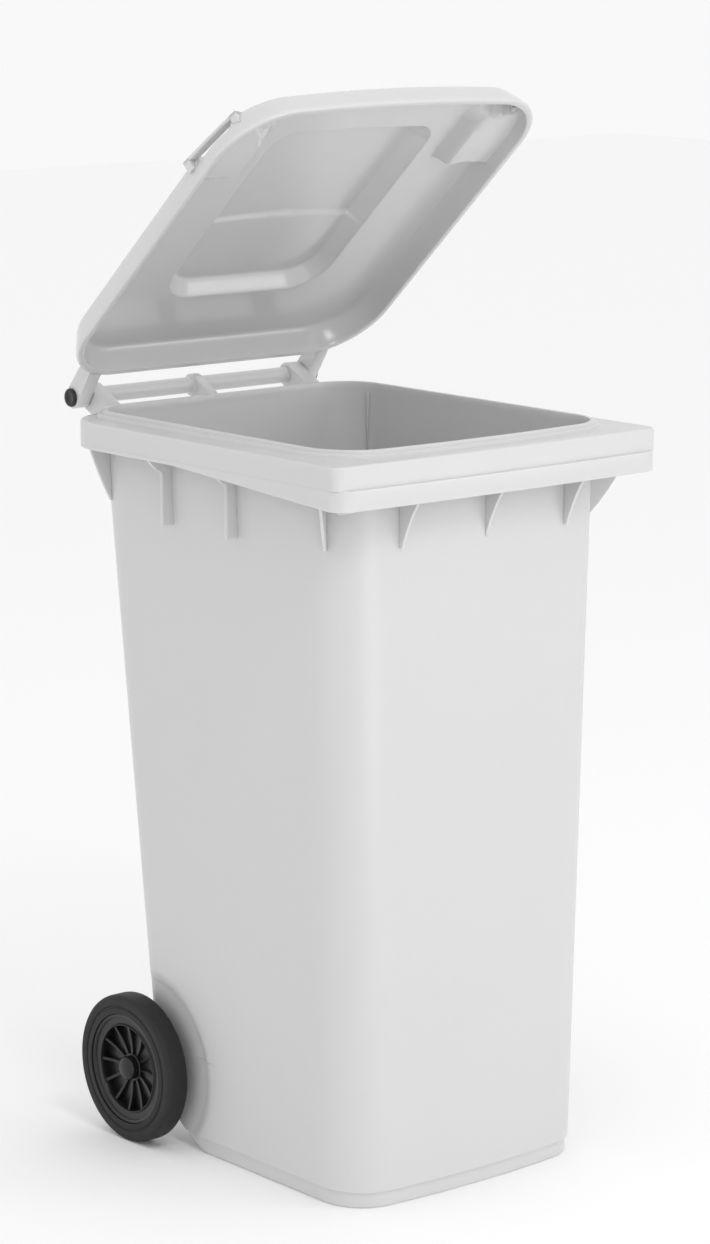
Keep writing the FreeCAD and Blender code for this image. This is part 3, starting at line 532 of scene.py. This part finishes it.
CROWN_OUTSIDE, CROWN_INSIDE, CROWN_RISE = 41.4, 37.4, 0.8
LID_CORNER, LID_BOW, LID_RING_STEPS = 97.0, 7.0, (40, 120)


def lid_points(inset):
    """The lid's outline in plan, set in from its free edge."""
    corner = LID_CORNER - 0.6 * inset
    return plan_outline(LID_HALF_WIDTH - inset, LID_FRONT + inset, LID_REAR - inset, corner,
                        corner, LID_BOW, *LID_RING_STEPS)


def panel_points(inset):
    """The raised panel's outline in plan, set in from its foot."""
    front_corner, rear_corner = max(36.0 - 0.5 * inset, 8.0), max(58.0 - 0.8 * inset, 8.0)
    return plan_outline(PANEL_HALF - inset, PANEL_FRONT + inset, PANEL_REAR - inset,
                        front_corner, rear_corner, 3.0, *LID_RING_STEPS)


def smooth_between(low, high, value):
    """0 below low, 1 above high and a soft S between them."""
    t = np.clip((value - low) / (high - low), 0, 1)
    return t * t * (3 - 2 * t)


def recess_at(points, inner, front, rear, slope):
    """0 to 1 over the two finger recesses, from the inner end out past the lid's edge."""
    depth = smooth_between(inner - slope, inner, np.abs(points[:, 0]))
    depth *= smooth_between(front - 4.0, front + 4.0, points[:, 1])
    return depth * (1 - smooth_between(rear - 4.0, rear + 4.0, points[:, 1]))


def step_at(points):
    """0 to 1 across the step in the raised panel."""
    line = PANEL_STEP_Y - PANEL_STEP_BOW * (1 - (points[:, 0] / 125.0) ** 2)
    return smooth_between(-2.5, 2.5, line - points[:, 1])


def lid_surface(skin):
    """Rings of the lid from the free edge to the middle; skin 0 is outside, 1 is inside."""
    rings = []
    if skin:
        profile = [(0.0, 3.0), (0.4, 0.8), (1.6, 0.0), (7.2, 0.0), (8.4, 0.6), (8.9, 2.0),
                   (9.2, 5.0), (10.8, 12.0), (12.6, 20.0), (14.6, 27.0), (16.6, 32.4),
                   (17.8, 34.4), (19.4, 35.6), (21.4, 36.0), (24.0, 36.1), (32.0, 36.4),
                   (44.0, 36.8), (58.0, 37.2), (72.0, 37.4)]
    else:
        profile = [(0.0, 3.0), (0.0, 5.0), (1.2, 8.0), (4.2, 16.0), (7.0, 22.6), (9.2, 28.0),
                   (10.6, 31.4), (13.0, 35.0), (16.4, 37.8), (20.4, 39.4), (26.0, 40.2),
                   (45.0, 41.0), (58.0, 41.2), (72.0, 41.4)]
    rings += [ring_at(lid_points(i), LID_EDGE + h) for i, h in profile]
    start, goal = lid_points(72.0), panel_points(0.0)
    for t in np.linspace(0, 1, 44)[1:]:
        crown = (CROWN_INSIDE if skin else CROWN_OUTSIDE) + CROWN_RISE * t
        rings.append(ring_at(start + (goal - start) * t, LID_EDGE + crown))
    for ring in rings:
        if skin:
            floor = RECESS_FLOOR - RECESS_SKIN
            depth = recess_at(ring, 188.0, -206.0, -94.0, 22.0)
        else:
            floor = RECESS_FLOOR
            depth = recess_at(ring, 192.0, -199.0, -123.0, 8.0)
        ring[:, 2] -= np.clip(ring[:, 2] - LID_EDGE - floor, 0, None) * depth
    base = rings[-1][:, 2].copy()
    for inset, rise in ((0.8, 0.4), (1.8, 1.6), (6.0, 7.6), (11.0, 14.8), (14.4, 19.4),
                        (15.8, 20.9), (17.2, 21.7), (20.0, PANEL_RISE)):
        flat = panel_points(inset)
        step = PANEL_STEP * step_at(flat) * rise / PANEL_RISE
        rings.append(ring_at(flat, base + rise + step))
    outer = rings[-1]
    middle = outer[:, :2].mean(0)
    for t in np.linspace(1, 0.02, 40)[1:]:
        flat = middle + (outer[:, :2] - middle) * t
        rings.append(ring_at(flat, base.mean() + PANEL_RISE + PANEL_STEP * step_at(flat)))
    return rings


lid_shell = stack_rings(lid_surface(1)[::-1] + lid_surface(0)[1:], close_low=True, close_high=True)
lid_parts = [lid_shell]


def rounded_bar(path, width, height, z, radius=2.4):
    """Bar of rounded section swept along a flat path in plan, its underside at z."""
    path = np.asarray(path, dtype=float)
    along = np.gradient(path, axis=0)
    along /= np.linalg.norm(along, axis=1, keepdims=True)
    side = np.column_stack([along[:, 1], -along[:, 0]])
    section = []
    for cx, cz, start in ((width / 2 - radius, height - radius, 0), (radius - width / 2,
                          height - radius, 1), (radius - width / 2, radius, 2),
                          (width / 2 - radius, radius, 3)):
        for a in np.linspace(0, math.pi / 2, 5) + start * math.pi / 2:
            section.append((cx + radius * math.cos(a), cz + radius * math.sin(a)))
    rings = [np.column_stack([p[0] + s[0] * np.array([q[0] for q in section]),
                              p[1] + s[1] * np.array([q[0] for q in section]),
                              z + np.array([q[1] for q in section])]) for p, s in zip(path, side)]
    return stack_rings(rings, close_low=True, close_high=True)


def strap_point(t):
    """Middle of the strap in plan, t from 0 at its rear end to 1 at its front end."""
    x = LID_HALF_WIDTH - GRIP_STRAP / 2 - GRIP_SLANT * t + 5.0 * t * (1 - t)
    return x, GRIP_REAR + (GRIP_FRONT - GRIP_REAR) * t


strap = rounded_bar([strap_point(t) for t in np.linspace(0, 1, 20)], GRIP_STRAP,
                    GRIP_THICKNESS, LID_EDGE + GRIP_LOW)
for t in (0.0, 1.0 - GRIP_FOOT_SHARE):
    path = [strap_point(t + k) for k in np.linspace(0, GRIP_FOOT_SHARE, 4)]
    foot = rounded_bar(path, GRIP_STRAP, GRIP_FOOT_TOP - RECESS_FLOOR, LID_EDGE + RECESS_FLOOR)
    lid_parts += [foot, mirror_x(foot)]
lid_parts += [strap, mirror_x(strap)]

ARM_INSIDE, ARM_WIDTH, ARM_RADIUS, ARM_ROOT = 193.5, 22.0, 15.8, 309.0
arm = tapered_arm((ARM_ROOT, LID_EDGE + 2.5), (ARM_ROOT, LID_EDGE + 25.0), (HINGE_Y, HINGE_Z),
                  ARM_RADIUS)
arm_part = along_x(plate(arm, ARM_WIDTH, 2.0), ARM_INSIDE + ARM_WIDTH / 2)
lid_parts += [arm_part, mirror_x(arm_part)]

# The lid is drawn shut and turned open about the hinge axis.
lid_verts, lid_faces = join_parts(lid_parts)
lid_verts = lid_verts - (0, HINGE_Y, HINGE_Z)
lid_turn = np.array(Matrix.Rotation(-LID_OPEN, 3, "X"))
lid_verts = lid_verts @ lid_turn.T + (0, HINGE_Y, HINGE_Z)
lid = mesh_object("lid_moulding", lid_verts, lid_faces)
lid_plastic = moulded_polyethylene("hdpe_light_grey_smooth", "#d2d2d2", "#cecece", 0.16)
lid.data.materials.append(lid_plastic)
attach(lid, "lid")
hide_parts("lid")


# ---- hinge pins ------------------------------------------------------------------------------
# Push-in pins, injection moulded in black polypropylene, one through each bracket and lid arm.
# The round head has a soft edge and a shallow dish.
def black_moulding(name, colour, roughness):
    """Black moulded polypropylene: satin, with faint grey scuffs and a fine tool texture."""
    material, shader = new_material(name)
    place = add_node(material, "ShaderNodeTexCoord").outputs["Object"]
    scuff = add_node(material, "ShaderNodeTexNoise", links=[("Vector", place)], Scale=38.0,
                     Detail=5.0, Roughness=0.62)
    colour_between(material, shader, scuff.outputs["Fac"], colour, "#1a1b1c")
    rough_between(material, shader, scuff.outputs["Fac"], roughness - 0.08, roughness + 0.12)
    grain = add_node(material, "ShaderNodeTexNoise", links=[("Vector", place)], Scale=1 / 0.0016,
                     Detail=2.0)
    bump_from(material, shader, grain.outputs["Fac"], 0.2, 0.0003)
    shader.inputs["IOR"].default_value = 1.49
    return material


pin_plastic = black_moulding("polypropylene_black_moulded", "#060606", 0.32)
PIN_FACE = 215.9
pin_profile = [(146.0, 0.1), (146.0, 7.0), (147.0, 8.0), (PIN_FACE, 8.0), (PIN_FACE, 12.6),
               (PIN_FACE + 0.4, 13.0), (PIN_FACE + 2.4, 13.0), (PIN_FACE + 3.5, 12.3),
               (PIN_FACE + 4.0, 11.0), (PIN_FACE + 3.9, 8.0), (PIN_FACE + 3.2, 6.6),
               (PIN_FACE + 3.0, 0.1)]
for side, place in (("right", lambda part: part), ("left", mirror_x)):
    pin = mesh_object("hinge_pin_" + side + "_moulding",
                      *place(ring_x(pin_profile, HINGE_Y, HINGE_Z, 48)))
    pin.data.materials.append(pin_plastic)
    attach(pin, "bin")
    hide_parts("hinge_pin_" + side)

# ---- axle, washers and push-on rings ---------------------------------------------------------
# The axle is a round steel bar, zinc plated, with a faint drawn grain along its length. Washers of
# black polypropylene and push-on rings of blackened spring steel hold the wheels on it.
zinc, zinc_shader = new_material("steel_zinc_plated_drawn")
zinc_place = add_node(zinc, "ShaderNodeTexCoord").outputs["Object"]
zinc_stretch = add_node(zinc, "ShaderNodeMapping", links=[("Vector", zinc_place)])
zinc_stretch.inputs["Scale"].default_value = (0.06, 1.0, 1.0)
zinc_grain = add_node(zinc, "ShaderNodeTexNoise", links=[("Vector", zinc_stretch.outputs[0])],
                      Scale=1 / 0.0012, Detail=4.0)
rough_between(zinc, zinc_shader, zinc_grain.outputs["Fac"], 0.28, 0.5)
bump_from(zinc, zinc_shader, zinc_grain.outputs["Fac"], 0.25, 0.0002)
zinc_shader.inputs["Base Color"].default_value = hex_linear("#b4b8bb")
zinc_shader.inputs["Metallic"].default_value = 1.0

spring_steel, spring_shader = new_material("spring_steel_blackened")
spring_place = add_node(spring_steel, "ShaderNodeTexCoord").outputs["Object"]
spring_noise = add_node(spring_steel, "ShaderNodeTexNoise", links=[("Vector", spring_place)],
                        Scale=120.0, Detail=4.0)
rough_between(spring_steel, spring_shader, spring_noise.outputs["Fac"], 0.35, 0.6)
spring_shader.inputs["Base Color"].default_value = hex_linear("#5a5c5e")
spring_shader.inputs["Metallic"].default_value = 1.0

for node, material in (("axle", zinc), ("push_nut_left", spring_steel),
                       ("push_nut_right", spring_steel), ("washer_left", pin_plastic),
                       ("washer_right", pin_plastic)):
    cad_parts[node].data.materials.clear()
    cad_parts[node].data.materials.append(material)

# ---- wheels ----------------------------------------------------------------------------------
# Solid black rubber tyres with a rounded shoulder and a groove in each side, on black moulded
# cores with a deep ring, a thin web and straight spokes round the hub; a domed cap hides the end.
WHEEL_INSIDE, WHEEL_OUTSIDE, CORE_RADIUS = 227.0, 261.0, 78.0
tyre_half = [(0.0, CORE_RADIUS + 0.4), (0.0, 85.0), (0.3, 86.2), (1.5, 87.0), (1.6, 88.6),
             (1.5, 89.6), (0.3, 90.4), (0.0, 91.6), (0.0, 99.0), (0.3, 100.6), (1.2, 102.4),
             (2.6, 103.8), (4.6, 104.6), (7.6, 105.0)]
tyre_profile = [(WHEEL_INSIDE + x, r) for x, r in tyre_half]
tyre_profile += [(WHEEL_OUTSIDE - x, r) for x, r in reversed(tyre_half)]

rubber, rubber_shader = new_material("rubber_black_vulcanised")
rubber_place = add_node(rubber, "ShaderNodeTexCoord").outputs["Object"]
dust = add_node(rubber, "ShaderNodeTexNoise", links=[("Vector", rubber_place)], Scale=45.0,
                Detail=6.0, Roughness=0.65)
colour_between(rubber, rubber_shader, dust.outputs["Fac"], "#070707", "#131314")
rough_between(rubber, rubber_shader, dust.outputs["Fac"], 0.5, 0.75)
rubber_grain = add_node(rubber, "ShaderNodeTexNoise", links=[("Vector", rubber_place)],
                        Scale=1 / 0.002, Detail=3.0)
bump_from(rubber, rubber_shader, rubber_grain.outputs["Fac"], 0.35, 0.0004)
rubber_shader.inputs["IOR"].default_value = 1.52

wheel_plastic = black_moulding("polypropylene_black_wheel", "#080808", 0.3)
core_ring = [(230.0, 61.6), (230.0, 77.4), (230.6, 78.0), (258.4, 78.0), (259.0, 77.4),
             (259.0, 74.6), (258.0, 73.4), (256.0, 72.6), (255.4, 64.0), (256.4, 63.0),
             (257.6, 62.6), (257.6, 61.4), (256.8, 60.8), (231.0, 60.8)]
core_web = [(239.0, 19.0), (239.0, 62.0), (244.0, 62.0), (244.0, 19.0)]
core_hub = [(227.0, 10.1), (227.0, 19.2), (227.8, 20.0), (248.0, 20.0), (249.0, 19.0),
            (249.0, 10.1)]
SPOKES, SPOKE_THICKNESS = 12, 4.0
spoke = [(233.0, 18.0), (233.0, 62.5), (255.0, 62.5)]
spoke += curved((255.0, 62.5), (247.5, 19.0), -2.0) + [(247.5, 18.0)]
core_parts = [ring_x(core_ring, AXLE_Y, AXLE_Z, 96), ring_x(core_web, AXLE_Y, AXLE_Z, 96),
              ring_x(core_hub, AXLE_Y, AXLE_Z, 64)]
spoke_points, spoke_faces = plate(spoke, SPOKE_THICKNESS, 0.8)
for k in range(SPOKES):
    a = 2 * math.pi * k / SPOKES
    x, r, w = spoke_points[:, 0], spoke_points[:, 1], spoke_points[:, 2]
    core_parts.append((np.column_stack([x, AXLE_Y + w * math.cos(a) - r * math.sin(a),
                                        AXLE_Z + w * math.sin(a) + r * math.cos(a)]),
                       spoke_faces))
CAP_FOOT, CAP_BORE, CAP_RADIUS, CAP_SKIRT, CAP_DOME = 251.4, 10.0, 17.0, 4.0, 9.0
cap_dome = [(CAP_FOOT + CAP_SKIRT + CAP_DOME * math.cos(a),
             CAP_RADIUS * math.sin(a) ** 0.92 + 0.05) for a in np.linspace(0.0, math.pi / 2, 12)]
cap_profile = [(CAP_FOOT, CAP_BORE), (CAP_FOOT + CAP_SKIRT, CAP_BORE), (CAP_FOOT + 5.0, 0.05)]
cap_profile += cap_dome + [(CAP_FOOT + 0.6, CAP_RADIUS), (CAP_FOOT, 16.4)]
for side, place in (("right", lambda part: part), ("left", mirror_x)):
    tyre = mesh_object("tyre_" + side + "_moulding",
                       *place(ring_x(tyre_profile, AXLE_Y, AXLE_Z, 128)))
    tyre.data.materials.append(rubber)
    core = mesh_object("wheel_core_" + side + "_moulding", *place(join_parts(core_parts)))
    core.data.materials.append(wheel_plastic)
    for piece, node in ((tyre, "tyre_"), (core, "wheel_core_")):
        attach(piece, "wheel_" + side)
        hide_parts(node + side)
    cap = mesh_object("axle_cap_" + side + "_moulding",
                      *place(ring_x(cap_profile, AXLE_Y, AXLE_Z, 48)))
    cap.data.materials.append(wheel_plastic)
    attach(cap, "bin")
    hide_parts("axle_cap_" + side)
